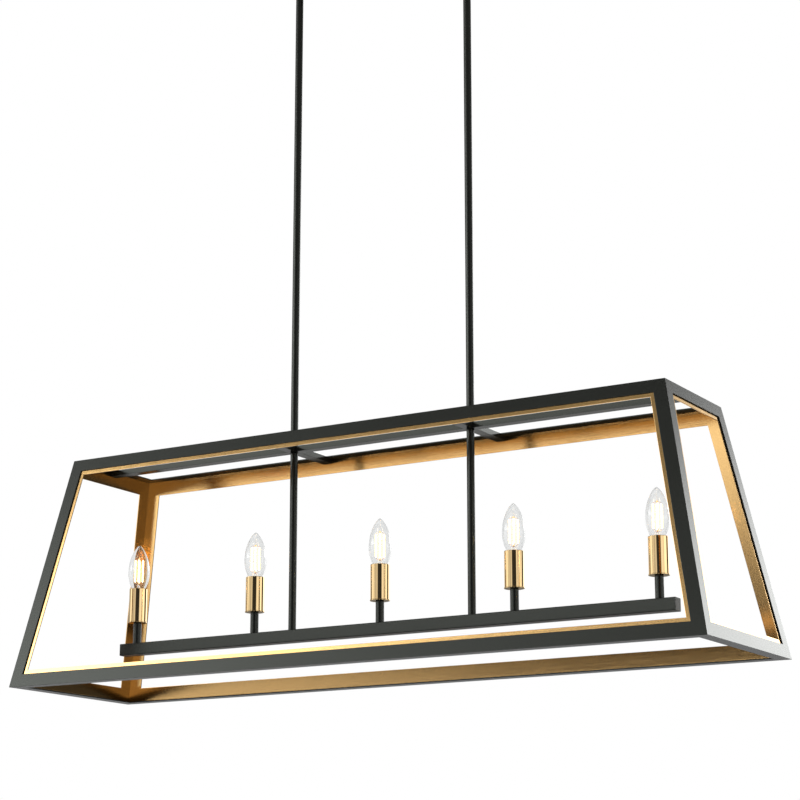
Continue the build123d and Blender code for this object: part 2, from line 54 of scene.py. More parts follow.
class Flow:
    """One output of a node tree, which Python's operators can work on."""

    def __init__(self, tree, socket=None):
        self.tree = tree
        self.socket = socket

    def node(self, kind, settings=None, inputs=None, out=0):
        """Adds any node: its settings first, then the values or links of its sockets."""
        made = self.tree.nodes.new(kind)
        for key, value in (settings or {}).items():
            if key == "stops":
                ramp = made.color_ramp
                while len(ramp.elements) < len(value):
                    ramp.elements.new(1.0)
                for stop, (place, colour) in zip(ramp.elements, value):
                    stop.position = place
                    stop.color = colour
            else:
                setattr(made, key, value)
        for key, value in (inputs or {}).items():
            if isinstance(value, Flow):
                self.tree.links.new(value.socket, made.inputs[key])
            else:
                made.inputs[key].default_value = value
        return Flow(self.tree, made.outputs[out]) if made.outputs else None

    def maths(self, operation, first, second):
        """Adds a maths node that takes two flows or numbers."""
        return self.node("ShaderNodeMath", {"operation": operation}, {0: first, 1: second})

    def __add__(self, other):
        return self.maths("ADD", self, other)

    def __radd__(self, other):
        return self.maths("ADD", other, self)

    def __sub__(self, other):
        return self.maths("SUBTRACT", self, other)

    def __rsub__(self, other):
        return self.maths("SUBTRACT", other, self)

    def __mul__(self, other):
        return self.maths("MULTIPLY", self, other)

    def __rmul__(self, other):
        return self.maths("MULTIPLY", other, self)

    def __truediv__(self, other):
        return self.maths("DIVIDE", self, other)

    def __rtruediv__(self, other):
        return self.maths("DIVIDE", other, self)

    def blend(self, low, high):
        """Colour that goes from low to high as this value goes from 0 to 1."""
        settings = {"data_type": "RGBA"}
        return self.node("ShaderNodeMix", settings, {0: self, 6: low, 7: high}, out=2)


def other_output(flow, key):
    """Another output of the node that a flow comes from."""
    return Flow(flow.tree, flow.socket.node.outputs[key])


def socket_name(key):
    """The name on the shader's socket, from a keyword such as base_color."""
    return key.replace("_", " ").title().replace("Ior", "IOR")


def finish(name, **constants):
    """A new material with one Principled shader: gives it, a flow of its tree and the shader."""
    material = bpy.data.materials.new(name)
    material.use_nodes = True
    shader = material.node_tree.nodes["Principled BSDF"]
    for key, value in constants.items():
        shader.inputs[socket_name(key)].default_value = value
    return material, Flow(material.node_tree), shader


def feed(flow, shader, **links):
    """Links flows to a shader's sockets by name."""
    for key, value in links.items():
        flow.tree.links.new(value.socket, shader.inputs[socket_name(key)])


def own_place(flow):
    """Position in the piece's own axes, in metres."""
    return flow.node("ShaderNodeTexCoord", out="Object")


def along_grain(flow):
    """Position in metres from the middle of a length of stock, X along its grain."""
    return flow.node("ShaderNodeAttribute", {"attribute_name": "grain"}, out="Vector")


def noise(flow, place, scale, detail=2.0, roughness=0.5):
    """Cloudy values about one half, with the scale in lumps a metre."""
    inputs = {"Vector": place, "Scale": scale, "Detail": detail, "Roughness": roughness}
    return flow.node("ShaderNodeTexNoise", {}, inputs, out="Fac")


def bumped(flow, height, strength, distance):
    """The surface's normal over a relief that is as deep as the distance, in metres."""
    inputs = {"Strength": strength, "Distance": distance, "Height": height}
    return flow.node("ShaderNodeBump", {}, inputs, out="Normal")


def make_black_paint():
    material, flow, shader = finish(
        "satin_black_powder_coat", metallic=0.0, ior=1.52, specular_tint=(0.93, 1.0, 0.9, 1)
    )
    place = own_place(flow)
    cloud = noise(flow, place, 9.0, detail=3.0)
    peel = noise(flow, place, 900.0, detail=3.0, roughness=0.6)
    dust = noise(flow, place, 5200.0, detail=1.0)
    speck_low, speck_high = 0.66, 0.8
    speck = flow.node("ShaderNodeMapRange", {}, {0: dust, 1: speck_low, 2: speck_high})
    deep, worn = (0.0045, 0.0045, 0.004, 1), (0.0085, 0.0086, 0.0076, 1)
    colour = (cloud * 0.75 + speck * 0.25).blend(deep, worn)
    roughness = 0.2 + cloud * 0.04 + peel * 0.05
    normal = bumped(flow, peel * 0.8 + speck * 0.2, strength=0.12, distance=0.00005)
    feed(flow, shader, base_color=colour, roughness=roughness, normal=normal)
    return material


same_point = 1e-6
flat_within = math.radians(0.5)
sharp_over = math.radians(30)
parallel = 0.999
edge_segments = 2
edge_fullness = 0.6


def clean_copy(node):
    """The node's solid as a bmesh of flat faces, without the triangles of its stored mesh."""
    solid = bmesh.new()
    solid.from_mesh(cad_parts[node].data)
    bmesh.ops.remove_doubles(solid, verts=solid.verts, dist=same_point)
    for face in solid.faces:
        face.smooth = False
    bmesh.ops.dissolve_limit(
        solid, angle_limit=flat_within, verts=solid.verts, edges=solid.edges
    )
    return solid


def grain_frame(solid):
    """Axes of a length of stock: X along its longest edge, from the mean of its corners."""
    longest = max(solid.edges, key=lambda edge: edge.calc_length())
    along = (longest.verts[1].co - longest.verts[0].co).normalized()
    leans_up = abs(along.z) >= 0.5
    side = Vector((0, 1, 0)) if leans_up else Vector((0, 0, 1))
    across = side.cross(along).normalized()
    up = along.cross(across)
    middle = sum((vert.co for vert in solid.verts), Vector()) / len(solid.verts)
    axes = Matrix((along, across, up)).transposed().to_4x4()
    return Matrix.Translation(middle) @ axes


def show(name, solid, material, body, nodes=(), smooth_under=0.0):
    """Turns a bmesh into a piece that rides a body and stands for its CAD nodes."""
    mesh = bpy.data.meshes.new(name)
    solid.to_mesh(mesh)
    solid.free()
    if mesh.has_custom_normals:
        mesh.attributes.remove(mesh.attributes["custom_normal"])
    if smooth_under:
        mesh.shade_smooth()
        mesh.set_sharp_from_angle(angle=math.radians(smooth_under))
    mesh.materials.append(material)
    piece = bpy.data.objects.new(name, mesh)
    bpy.context.scene.collection.objects.link(piece)
    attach(piece, body)
    if nodes:
        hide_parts(*nodes)
    return piece


def stock_length(node, material, edge_radius, mitred=False):
    """A length of rolled stock with softened edges, or only its long ones where it is mitred."""
    solid = clean_copy(node)
    axes = grain_frame(solid)
    along = axes.to_3x3() @ Vector((1, 0, 0))
    softened = [edge for edge in solid.edges if edge.calc_face_angle_signed(0.0) > sharp_over]
    if mitred:
        softened = [
            edge for edge in softened
            if abs((edge.verts[1].co - edge.verts[0].co).normalized().dot(along)) > parallel
        ]
    bmesh.ops.bevel(
        solid, geom=softened, offset=edge_radius, segments=edge_segments,
        profile=edge_fullness, affect="EDGES", clamp_overlap=True,
    )
    piece = show(f"shown_{node}", solid, material, "fixture", [node])
    to_grain = axes.inverted()
    grain = piece.data.attributes.new("grain", "FLOAT_VECTOR", "POINT")
    for spot, vert in zip(grain.data, piece.data.vertices):
        spot.vector = to_grain @ vert.co


black_paint = make_black_paint()
painted_edge = 0.00045

for level in ("top", "bottom"):
    for side in ("front", "rear", "left", "right"):
        rail = f"{level}_rail_{side}"
        stock_length(rail, black_paint, painted_edge, mitred=True)
for side in ("front", "rear"):
    for end in ("left", "right"):
        post = f"post_{side}_{end}"
        stock_length(post, black_paint, painted_edge, mitred=True)


# ---- Gold liners ----
# Thin steel strips and angles behind the black ones, brushed along their length and plated
# satin gold. They stand 6 mm proud of the black legs, so each opening has a gold lip.

brushing_depth = 0.000035
plated_edge = 0.00025


def stretched(flow, place, scale):
    """The place scaled on each axis by itself, which draws noise out into lines."""
    return flow.node("ShaderNodeMapping", {}, {"Vector": place, "Scale": scale})


def make_brushed_gold():
    material, flow, shader = finish("satin_gold_plate", metallic=1.0)
    place = along_grain(flow)
    fine = stretched(flow, place, (14.0, 2600.0, 2600.0))
    broad = stretched(flow, place, (3.0, 500.0, 500.0))
    lines = noise(flow, fine, 1.0, detail=3.0, roughness=0.6)
    bands = noise(flow, broad, 1.0, detail=2.0)
    cloud = noise(flow, place, 6.0, detail=2.0)
    deep, bright = (0.83, 0.505, 0.19, 1), (0.95, 0.62, 0.265, 1)
    colour = (lines * 0.35 + bands * 0.45 + cloud * 0.2).blend(deep, bright)
    roughness = 0.1 + bands * 0.05 + cloud * 0.04
    normal = bumped(flow, lines, strength=1.0, distance=brushing_depth)
    feed(flow, shader, base_color=colour, roughness=roughness, normal=normal)
    return material


brushed_gold = make_brushed_gold()

for side in ("front", "rear"):
    for end in ("left", "right"):
        liner = f"post_liner_{side}_{end}"
        stock_length(liner, brushed_gold, plated_edge, mitred=True)
for level in ("top", "bottom"):
    for group in ("side", "end"):
        liners = f"{level}_{group}_liners"
        stock_length(liners, brushed_gold, plated_edge, mitred=True)


# ---- Spine and crossbars ----
# Flat steel bars across the top of the cage, let in flush under its flanges and half-lapped
# where they cross. They carry the rods, and are painted with the cage.

stock_length("spine", black_paint, painted_edge)
for hand in ("left", "right"):
    stock_length(f"crossbar_{hand}", black_paint, painted_edge)


# ---- Rods ----
# Four lengths of drawn tube, two above the spine and two below it, threaded inside on short
# nipples and painted. Each end is faced square, with its corner broken.

guard_distance = 0.0002
long_wall = 8 * guard_distance
on_axis = 1e-6


def with_guard_rings(profile):
    """Adds a point near both ends of each long wall, so that its shading stays straight."""
    points = []
    for start, end in zip(profile, profile[1:] + profile[:1]):
        points.append(start)
        length = math.dist(start, end)
        if length > long_wall and start[0] > on_axis and end[0] > on_axis:
            for share in (guard_distance / length, 1 - guard_distance / length):
                points.append(tuple(a + (b - a) * share for a, b in zip(start, end)))
    return points


def turned(name, profile, centre, material, body, nodes=(), steps=64, smooth_under=32.0):
    """A piece turned from a closed profile of (radius, height) points about an upright axis."""
    solid = bmesh.new()
    rings = []
    for radius, height in with_guard_rings(profile):
        if radius < on_axis:
            rings.append([solid.verts.new((centre[0], centre[1], height))])
            continue
        ring = []
        for step in range(steps):
            angle = 2 * math.pi * step / steps
            x = centre[0] + radius * math.cos(angle)
            y = centre[1] + radius * math.sin(angle)
            ring.append(solid.verts.new((x, y, height)))
        rings.append(ring)
    for low, high in zip(rings, rings[1:] + rings[:1]):
        if len(low) == 1 and len(high) == 1:
            continue
        for step in range(steps):
            after = (step + 1) % steps
            corners = [
                low[step % len(low)], low[after % len(low)],
                high[after % len(high)], high[step % len(high)],
            ]
            solid.faces.new(dict.fromkeys(corners))
    bmesh.ops.recalc_face_normals(solid, faces=solid.faces)
    show(name, solid, material, body, nodes, smooth_under)


def middle_of(node):
    """The middle of a CAD node's box."""
    low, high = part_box(node)
    return (low + high) / 2


def broken_corners(outer, inner, low, high, cut):
    """Profile of a tube whose four rims are broken by the cut."""
    return [
        (inner + cut, low), (outer - cut, low), (outer, low + cut), (outer, high - cut),
        (outer - cut, high), (inner + cut, high), (inner, high - cut), (inner, low + cut),
    ]


rod_bore = 0.005
rod_rim = 0.0004
for place in ("upper", "lower"):
    for hand in ("left", "right"):
        rod = f"{place}_rod_{hand}"
        low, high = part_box(rod)
        radius = (high.y - low.y) / 2
        profile = broken_corners(radius, rod_bore, low.z, high.z, rod_rim)
        turned(
            f"shown_{rod}", profile, middle_of(rod), black_paint, "fixture",
            [rod],
        )


# ---- Candle bar ----
# Square steel tube hung level on the two lower rods, with a plug pressed into each end and
# painted black. It carries the five candles, and their wires run inside it.

stock_length("candle_bar", black_paint, painted_edge)
stock_length("bar_end_caps", black_paint, painted_edge)


# ---- Candle stems ----
# Short turned steel spacers, painted black, one under each cup. A threaded nipple runs up
# through each and clamps bar, stem, cup and lamp socket together.

candle_centres = [middle_of(f"candle_cup_{number}") for number in range(1, 6)]
stem_low, stem_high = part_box("candle_stems")
stem_radius = (stem_high.y - stem_low.y) / 2
stem_bore = 0.005
stem_rim = 0.0005
for number, centre in enumerate(candle_centres, start=1):
    profile = broken_corners(stem_radius, stem_bore, stem_low.z, stem_high.z, stem_rim)
    turned(
        f"stem_{number}", profile, centre, black_paint, "fixture",
        ["candle_stems"],
    )


# ---- Candle cups ----
# Deep-drawn brass cups, polished and gold plated, with a small foot ring and a rolled mouth.
# Each is clamped between its stem and the lamp socket inside it.

def make_polished_gold():
    material, flow, shader = finish("polished_gold_plate", metallic=1.0)
    place = own_place(flow)
    cloud = noise(flow, place, 60.0, detail=2.0)
    turning = stretched(flow, place, (30.0, 30.0, 2400.0))
    lines = noise(flow, turning, 1.0, detail=3.0)
    deep, bright = (0.88, 0.62, 0.3, 1), (0.93, 0.69, 0.37, 1)
    colour = cloud.blend(deep, bright)
    roughness = 0.03 + lines * 0.03 + cloud * 0.02
    normal = bumped(flow, lines, strength=0.03, distance=0.00003)
    feed(flow, shader, base_color=colour, roughness=roughness, normal=normal)
    return material


polished_gold = make_polished_gold()
cup_wall = 0.001
cup_radius = 0.0145
cup_inside = cup_radius - cup_wall
cup_floor = 0.0015
cup_foot_height = 0.0016
foot_break = 0.0003
foot_round = 0.0004
foot_fillet = 0.0002
nipple_hole = 0.005
lip_roll = 0.0005
lip_shoulder = 0.3 * lip_roll

for number, centre in enumerate(candle_centres, start=1):
    cup = f"candle_cup_{number}"
    low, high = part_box(cup)
    foot_radius = (high.y - low.y) / 2
    foot_top = low.z + cup_foot_height
    floor_top = low.z + cup_floor
    profile = [
        (nipple_hole, low.z), (foot_radius - foot_break, low.z),
        (foot_radius, low.z + foot_break), (foot_radius, foot_top - foot_round),
        (foot_radius - foot_round, foot_top), (cup_radius, foot_top + foot_fillet),
        (cup_radius, high.z - lip_roll), (cup_radius - lip_shoulder, high.z - lip_shoulder),
        (cup_radius - lip_roll, high.z), (cup_inside + lip_shoulder, high.z - lip_shoulder),
        (cup_inside, high.z - lip_roll), (cup_inside, floor_top + lip_roll),
        (cup_inside - lip_roll, floor_top), (nipple_hole, floor_top),
    ]
    turned(
        f"cup_{number}", profile, centre, polished_gold, "fixture", [cup],
        steps=96,
    )


# ---- Lamp sockets ----
# Moulded black phenolic bodies, each with a brass screw shell in its bore. The nipple that
# comes up through stem and cup screws into the foot.

def make_phenolic():
    material, flow, shader = finish("moulded_black_phenolic", metallic=0.0)
    place = own_place(flow)
    swirl = noise(flow, place, 300.0, detail=4.0, roughness=0.7)
    colour = swirl.blend((0.012, 0.0105, 0.009, 1), (0.028, 0.024, 0.02, 1))
    normal = bumped(flow, noise(flow, place, 2500.0), strength=0.2, distance=0.00005)
    feed(flow, shader, base_color=colour, roughness=0.42 + swirl * 0.16, normal=normal)
    return material


def make_plain_brass():
    material, flow, shader = finish("plain_brass", metallic=1.0)
    place = own_place(flow)
    stain = noise(flow, place, 220.0, detail=4.0, roughness=0.6)
    colour = stain.blend((0.62, 0.42, 0.16, 1), (0.8, 0.6, 0.28, 1))
    normal = bumped(flow, noise(flow, place, 3000.0), strength=0.1, distance=0.00004)
    feed(flow, shader, base_color=colour, roughness=0.26 + stain * 0.16, normal=normal)
    return material


phenolic = make_phenolic()
plain_brass = make_plain_brass()
socket_low, socket_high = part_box("lamp_sockets")
base_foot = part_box("bulb_base_3")[0].z
socket_radius = 0.011
socket_break = 0.0005
socket_bore = 0.006
shell_wall = 0.0004
shell_rim = 0.00008
shell_outside = socket_bore + shell_wall
bore_floor = base_foot - 0.0003
shell_foot = bore_floor + 0.001
mouth_chamfer = 0.0008
mouth_foot = socket_high.z - mouth_chamfer
terminal_bore = 0.005
terminal_roof = socket_low.z + 0.017

body_profile = [
    (terminal_bore, socket_low.z), (socket_radius - socket_break, socket_low.z),
    (socket_radius, socket_low.z + socket_break), (socket_radius, mouth_foot),
    (socket_radius - mouth_chamfer, socket_high.z),
    (shell_outside + mouth_chamfer, socket_high.z), (shell_outside, mouth_foot),
    (shell_outside, bore_floor), (0.0, bore_floor), (0.0, terminal_roof),
    (terminal_bore, terminal_roof),
]
shell_profile = broken_corners(shell_outside, socket_bore, shell_foot, mouth_foot, shell_rim)
for number, centre in enumerate(candle_centres, start=1):
    turned(
        f"socket_body_{number}", body_profile, centre, phenolic, "fixture",
        ["lamp_sockets"],
    )
    turned(
        f"socket_shell_{number}", shell_profile, centre, plain_brass, "fixture",
    )


# ---- Candle bulbs: glass ----
# Clear glass blown in a mould to a candle's outline and drawn off to a blunt tip. Its neck is
# cemented into the screw base.

def make_clear_glass():
    material, flow, shader = finish(
        "clear_glass", roughness=0.0, ior=1.47, transmission_weight=1.0
    )
    wave = noise(flow, own_place(flow), 60.0, detail=2.0)
    colour = wave.blend((0.895, 0.9, 0.898, 1), (0.92, 0.925, 0.923, 1))
    feed(flow, shader, base_color=colour)
    return material


clear_glass = make_clear_glass()
cup_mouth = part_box("candle_cup_3")[1].z
glass_low, glass_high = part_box("bulb_glass_3")
glass_radius = (glass_high.y - glass_low.y) / 2
glass_neck = 0.0055
glass_wall = 0.0009
neck_top = socket_high.z + 0.0015
widest_share = 0.37
widest = cup_mouth + widest_share * (glass_high.z - cup_mouth)
neck_pull = Vector((0, 0.002))
belly_pull_down = Vector((0, -0.021))
belly_pull_up = Vector((0, 0.0262))
tip_pull = Vector((0.0041, 0))
swell_points = 18
draw_points = 30


def glass_curve(skin):
    """The glass from its neck to its tip, as (radius, height) points, moved in by the skin."""
    neck = Vector((glass_neck - skin, neck_top))
    belly = Vector((glass_radius - skin, widest))
    tip = Vector((0.0, glass_high.z - skin))
    swell = interpolate_bezier(
        neck, neck + neck_pull, belly + belly_pull_down, belly, swell_points
    )
    draw = interpolate_bezier(belly, belly + belly_pull_up, tip + tip_pull, tip, draw_points)
    return [(max(point.x, 0.0), point.y) for point in swell + draw[1:]]


glass_profile = [(glass_neck, glass_low.z)] + glass_curve(0.0)
glass_profile += list(reversed(glass_curve(glass_wall)))
glass_profile += [(glass_neck - glass_wall, glass_low.z)]
for number, centre in enumerate(candle_centres, start=1):
    turned(
        f"glass_{number}", glass_profile, centre, clear_glass, f"bulb_{number}_glass",
        [f"bulb_glass_{number}"], steps=96, smooth_under=60.0,
    )


# ---- Candle bulbs: screw base ----
# A rolled nickel-plated screw shell, closed below by a black glass insulator with a soldered
# contact at its middle. It screws down into the lamp socket.

def make_nickel():
    material, flow, shader = finish("nickel_plate", metallic=1.0)
    place = own_place(flow)
    cloud = noise(flow, place, 400.0, detail=3.0)
    colour = cloud.blend((0.6, 0.57, 0.52, 1), (0.72, 0.7, 0.66, 1))
    normal = bumped(flow, noise(flow, place, 4000.0), strength=0.06, distance=0.00003)
    feed(flow, shader, base_color=colour, roughness=0.18 + cloud * 0.14, normal=normal)
    return material


def make_solder():
    material, flow, shader = finish("dull_solder", metallic=1.0)
    place = own_place(flow)
    dull = noise(flow, place, 900.0, detail=3.0)
    colour = dull.blend((0.34, 0.34, 0.35, 1), (0.52, 0.52, 0.53, 1))
    feed(
        flow, shader, base_color=colour, roughness=0.38 + dull * 0.2,
        normal=bumped(flow, dull, strength=0.3, distance=0.0001),
    )
    return material


nickel = make_nickel()
solder = make_solder()
cap_radius = 0.00595
cap_wall = 0.00035
cap_foot = base_foot + 0.0035
cap_head = socket_high.z
thread_pitch = 0.00254
thread_depth = 0.0003
thread_foot = cap_foot + 0.0012
thread_head = cap_head - 0.0022
shell_sides, shell_rows = 60, 66


def screw_shell(number, centre):
    """The rolled shell: a tube whose wall waves in and out along a right-hand helix."""
    solid = bmesh.new()
    rings = []
    for row in range(shell_rows + 1):
        height = cap_foot + (cap_head - cap_foot) * row / shell_rows
        run_in = min(height - thread_foot, thread_head - height) / thread_pitch
        depth = thread_depth * max(0.0, min(1.0, run_in * 2))
        ring = []
        for step in range(shell_sides):
            angle = 2 * math.pi * step / shell_sides
            phase = 2 * math.pi * (height - cap_foot) / thread_pitch - angle
            radius = cap_radius - thread_depth + depth * (0.5 + 0.5 * math.cos(phase))
            spot = (centre.x + radius * math.cos(angle), centre.y + radius * math.sin(angle))
            ring.append(solid.verts.new((*spot, height)))
        rings.append(ring)
    for low, high in zip(rings, rings[1:]):
        for step in range(shell_sides):
            after = (step + 1) % shell_sides
            solid.faces.new((low[step], low[after], high[after], high[step]))
    bmesh.ops.solidify(solid, geom=solid.faces[:], thickness=cap_wall)
    bmesh.ops.recalc_face_normals(solid, faces=solid.faces)
    show(
        f"screw_shell_{number}", solid, nickel, f"bulb_{number}_base",
        [f"bulb_base_{number}"], smooth_under=50.0,
    )


def rising_from(level, steps):
    """Points of a profile from (radius, rise above the level) pairs."""
    return [(radius, level + rise) for radius, rise in steps]


insulator_profile = rising_from(cap_foot, [
    (0.0, 0.0006), (0.0052, 0.0006), (0.00545, 0.0), (0.005, -0.0008), (0.0033, -0.0024),
    (0.0, -0.0024),
])
contact_profile = rising_from(cap_foot, [
    (0.0, -0.0025), (0.0021, -0.0025), (0.0022, -0.0029), (0.0017, -0.0033),
])
contact_profile += rising_from(base_foot, [(0.0008, 0.00003), (0.0, 0.0)])
for number, centre in enumerate(candle_centres, start=1):
    body = f"bulb_{number}_base"
    screw_shell(number, centre)
    turned(
        f"insulator_{number}", insulator_profile, centre, phenolic, body,
        steps=40,
    )
    turned(
        f"contact_{number}", contact_profile, centre, solder, body, steps=32,
        smooth_under=60.0,
    )


# ---- Candle bulbs: mount and filaments ----
# A glass mount rises from the base and is pinched shut round the wires. They hold four lit
# filaments in a ring, each coated in yellow phosphor inside a clear sleeve whose amber glow is a
# painted halo of the filament's light.

def make_lit_phosphor():
    material, flow, shader = finish("lit_phosphor", roughness=0.5, emission_strength=4.0)
    grain = noise(flow, own_place(flow), 2600.0, detail=2.0)
    feed(flow, shader, base_color=grain.blend((0.95, 0.72, 0.3, 1), (1.0, 0.84, 0.46, 1)))
    feed(flow, shader, emission_color=grain.blend((1.0, 0.86, 0.62, 1), (1.0, 0.92, 0.74, 1)))
    return material


# The sleeve's emission is a painted glow: a halo of the filament's light drawn as a glowing
# clear tube.
def make_glow_halo_sleeve():
    material, flow, shader = finish(
        "painted_glow_halo_sleeve", roughness=0.4, emission_strength=1.0, specular_ior_level=0.1
    )
    haze = noise(flow, own_place(flow), 700.0, detail=3.0)
    glow = haze.blend((1.0, 0.7, 0.34, 1), (1.0, 0.8, 0.46, 1))
    feed(flow, shader, base_color=glow, emission_color=glow, alpha=0.34 + haze * 0.28)
    return material


# The bead's emission is a painted glow: the filaments' light drawn onto a support bead that
# gives no light itself.
def make_painted_glow_bead():
    material, flow, shader = finish("painted_glow_bead", roughness=0.35, emission_strength=0.9)
    haze = noise(flow, own_place(flow), 900.0, detail=3.0)
    glow = haze.blend((1.0, 0.55, 0.16, 1), (1.0, 0.7, 0.3, 1))
    feed(flow, shader, base_color=glow, emission_color=glow)
    return material


def make_copper():
    material, flow, shader = finish("copper_clad_wire", metallic=1.0)
    stain = noise(flow, own_place(flow), 900.0, detail=3.0)
    colour = stain.blend((0.72, 0.36, 0.2, 1), (0.86, 0.5, 0.3, 1))
    feed(flow, shader, base_color=colour, roughness=0.25 + stain * 0.2)
    return material


lit_phosphor = make_lit_phosphor()
glow_halo_sleeve = make_glow_halo_sleeve()
painted_glow_bead = make_painted_glow_bead()
copper = make_copper()

filament_head = glass_high.z - 0.024
filament_foot = filament_head - 0.036
filament_count = 4
filament_circle = 0.006
filament_turn = math.radians(31)
filament_radius = 0.001
filament_rounding = 0.5 * filament_radius
sleeve_radius = 0.0021
sleeve_overhang = Vector((0, 0, 0.0004))
sleeve_rounding = 0.8 * sleeve_radius
rim_bend = 1.2

lead_radius = 0.0003
lead_length = Vector((0, 0, 0.001))
lead_overlap = Vector((0, 0, 0.0004))
spoke_radius = 0.0002
spoke_circle = 0.0011
spoke_rise = 0.003
mast_radius = 0.00022
mast_head = filament_head + 0.0032

pinch_head = filament_foot - 0.003
pinched_wire = pinch_head - 0.002
bead_radius = 0.0014
bead_slant = 0.7 * bead_radius
lower_bead = filament_foot - 0.0022

mount_profile = rising_from(cap_head, [
    (0.0, -0.009), (0.0041, -0.009), (0.0036, -0.006), (0.0024, -0.002),
])
mount_profile += rising_from(pinch_head, [
    (0.0021, -0.004), (0.0017, -0.001), (0.0009, 0.0), (0.0, 0.0002),
])


def off_axis(centre, angle, radius, height):
    """A point at an angle and a radius from a bulb's axis."""
    x = centre.x + radius * math.cos(angle)
    y = centre.y + radius * math.sin(angle)
    return Vector((x, y, height))


def wire(solid, start, end, radius, sides=8):
    """Adds a straight round wire between two points."""
    lean = (end - start).to_track_quat("Z", "Y").to_matrix().to_4x4()
    placed = Matrix.Translation((start + end) / 2) @ lean
    bmesh.ops.create_cone(
        solid, cap_ends=True, segments=sides, radius1=radius, radius2=radius,
        depth=(end - start).length, matrix=placed,
    )


def round_ends(solid, rounding, segments):
    """Rounds the rims at the ends of wires."""
    rims = [edge for edge in solid.edges if edge.calc_face_angle(0) > rim_bend]
    bmesh.ops.bevel(solid, geom=rims, offset=rounding, segments=segments, affect="EDGES")


for number, centre in enumerate(candle_centres, start=1):
    body = f"bulb_{number}_base"
    turned(
        f"glass_mount_{number}", mount_profile, centre, clear_glass, body,
        steps=40, smooth_under=60.0,
    )
    # Each filament gets a sleeve with a painted glow halo round it.
    filaments, halo_sleeves, wires = bmesh.new(), bmesh.new(), bmesh.new()
    for place in range(filament_count):
        angle = filament_turn + 2 * math.pi * place / filament_count
        foot = off_axis(centre, angle, filament_circle, filament_foot)
        head = off_axis(centre, angle, filament_circle, filament_head)
        wire(filaments, foot, head, filament_radius, sides=16)
        wire(halo_sleeves, foot - sleeve_overhang, head + sleeve_overhang, sleeve_radius, sides=20)
        low_spoke = off_axis(centre, angle, spoke_circle, pinched_wire)
        high_spoke = off_axis(centre, angle, spoke_circle, filament_head + spoke_rise)
        wire(wires, foot + lead_overlap, foot - lead_length, lead_radius)
        wire(wires, foot - lead_length, low_spoke, spoke_radius)
        wire(wires, head - lead_overlap, head + lead_length, lead_radius)
        wire(wires, head + lead_length, high_spoke, spoke_radius)
    mast_foot = off_axis(centre, 0.0, 0.0, pinched_wire)
    wire(wires, mast_foot, off_axis(centre, 0.0, 0.0, mast_head), mast_radius)
    round_ends(filaments, filament_rounding, segments=3)
    round_ends(halo_sleeves, sleeve_rounding, segments=4)
    for name, solid, material, slot in (
        ("filaments", filaments, lit_phosphor, "nickel_cap"),
        ("halo_sleeves", halo_sleeves, glow_halo_sleeve, "clear_glass"),
        ("mount_wires", wires, copper, "nickel_cap"),
    ):
        show(f"{name}_{number}", solid, material, body, smooth_under=50.0)
    # Beads at the mast's head and below the filaments, each with a painted amber glow.
    for end, level in (("upper", mast_head), ("lower", lower_bead)):
        bead_profile = rising_from(level, [
            (0.0, -bead_radius), (bead_slant, -bead_slant), (bead_radius, 0.0),
            (bead_slant, bead_slant), (0.0, bead_radius),
        ])
        turned(
            f"{end}_bead_{number}", bead_profile, centre, painted_glow_bead, body,
            steps=20, smooth_under=80.0,
        )


# ---- Swivels ----
# Under the canopy, a turned collar holds the ball at the head of each rod, so that the fixture
# hangs plumb. Collars are painted black; balls and ring nuts are zinc-plated steel.

def make_zinc():
    material, flow, shader = finish("zinc_plated_steel", metallic=1.0)
    place = own_place(flow)
    cloud = noise(flow, place, 160.0, detail=4.0, roughness=0.65)
    colour = cloud.blend((0.46, 0.47, 0.49, 1), (0.66, 0.67, 0.68, 1))
    normal = bumped(flow, noise(flow, place, 2600.0), strength=0.1, distance=0.00004)
    feed(flow, shader, base_color=colour, roughness=0.24 + cloud * 0.2, normal=normal)
    return material


zinc = make_zinc()


def on_node(node, material):
    """Gives a CAD node that stays its real finish."""
    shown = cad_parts[node]
    shown.data.materials.clear()
    shown.data.materials.append(material)


for hand in ("left", "right"):
    on_node(f"swivel_collar_{hand}", black_paint)
    on_node(f"swivel_ball_{hand}", zinc)
on_node("swivel_ring_nuts", zinc)


# ---- Canopy and bracket ----
# A drawn steel tray against the ceiling, painted black, held by two studs and cap nuts to a
# plain zinc-plated bar that screws to the outlet box.

on_node("canopy", black_paint)
on_node("ceiling_bracket", zinc)
on_node("canopy_studs", zinc)
on_node("canopy_cap_nuts", black_paint)


# ---- Hidden hardware and wiring ----
# Threaded nipples and hexagon lock nuts of zinc-plated steel, and a jacketed lead that runs
# down the left rods and along the bar to the sockets.

def make_jacket():
    material, flow, shader = finish("wire_jacket", metallic=0.0)
    place = own_place(flow)
    cloud = noise(flow, place, 120.0, detail=3.0)
    colour = cloud.blend((0.03, 0.029, 0.028, 1), (0.055, 0.053, 0.05, 1))
    normal = bumped(flow, noise(flow, place, 1800.0), strength=0.15, distance=0.00004)
    feed(flow, shader, base_color=colour, roughness=0.4 + cloud * 0.15, normal=normal)
    return material


jacket = make_jacket()
for hidden in ("rod_nipples", "stem_nipples", "bar_lock_nuts"):
    on_node(hidden, zinc)
for hidden in ("wiring_loom", "lead_connector"):
    on_node(hidden, jacket)


# ---- Studio ----
# A plain pale floor under the fixture and white all round. Metal and paint mirror soft panels
# with dark gaps between them instead. The camera is below the cage and looks up along it.

heading = math.radians(30.97)
pitch = math.radians(14.03)
focal_pixels = 2146.3
picture_pixels = 800
sensor = 36.0
far_clip = 100.0
cage_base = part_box("bottom_rail_front")[0].z
eye = Vector((1.6737, -2.7301, cage_base - 0.3789))
ahead = Vector((
    -math.sin(heading) * math.cos(pitch), math.cos(heading) * math.cos(pitch), math.sin(pitch),
))

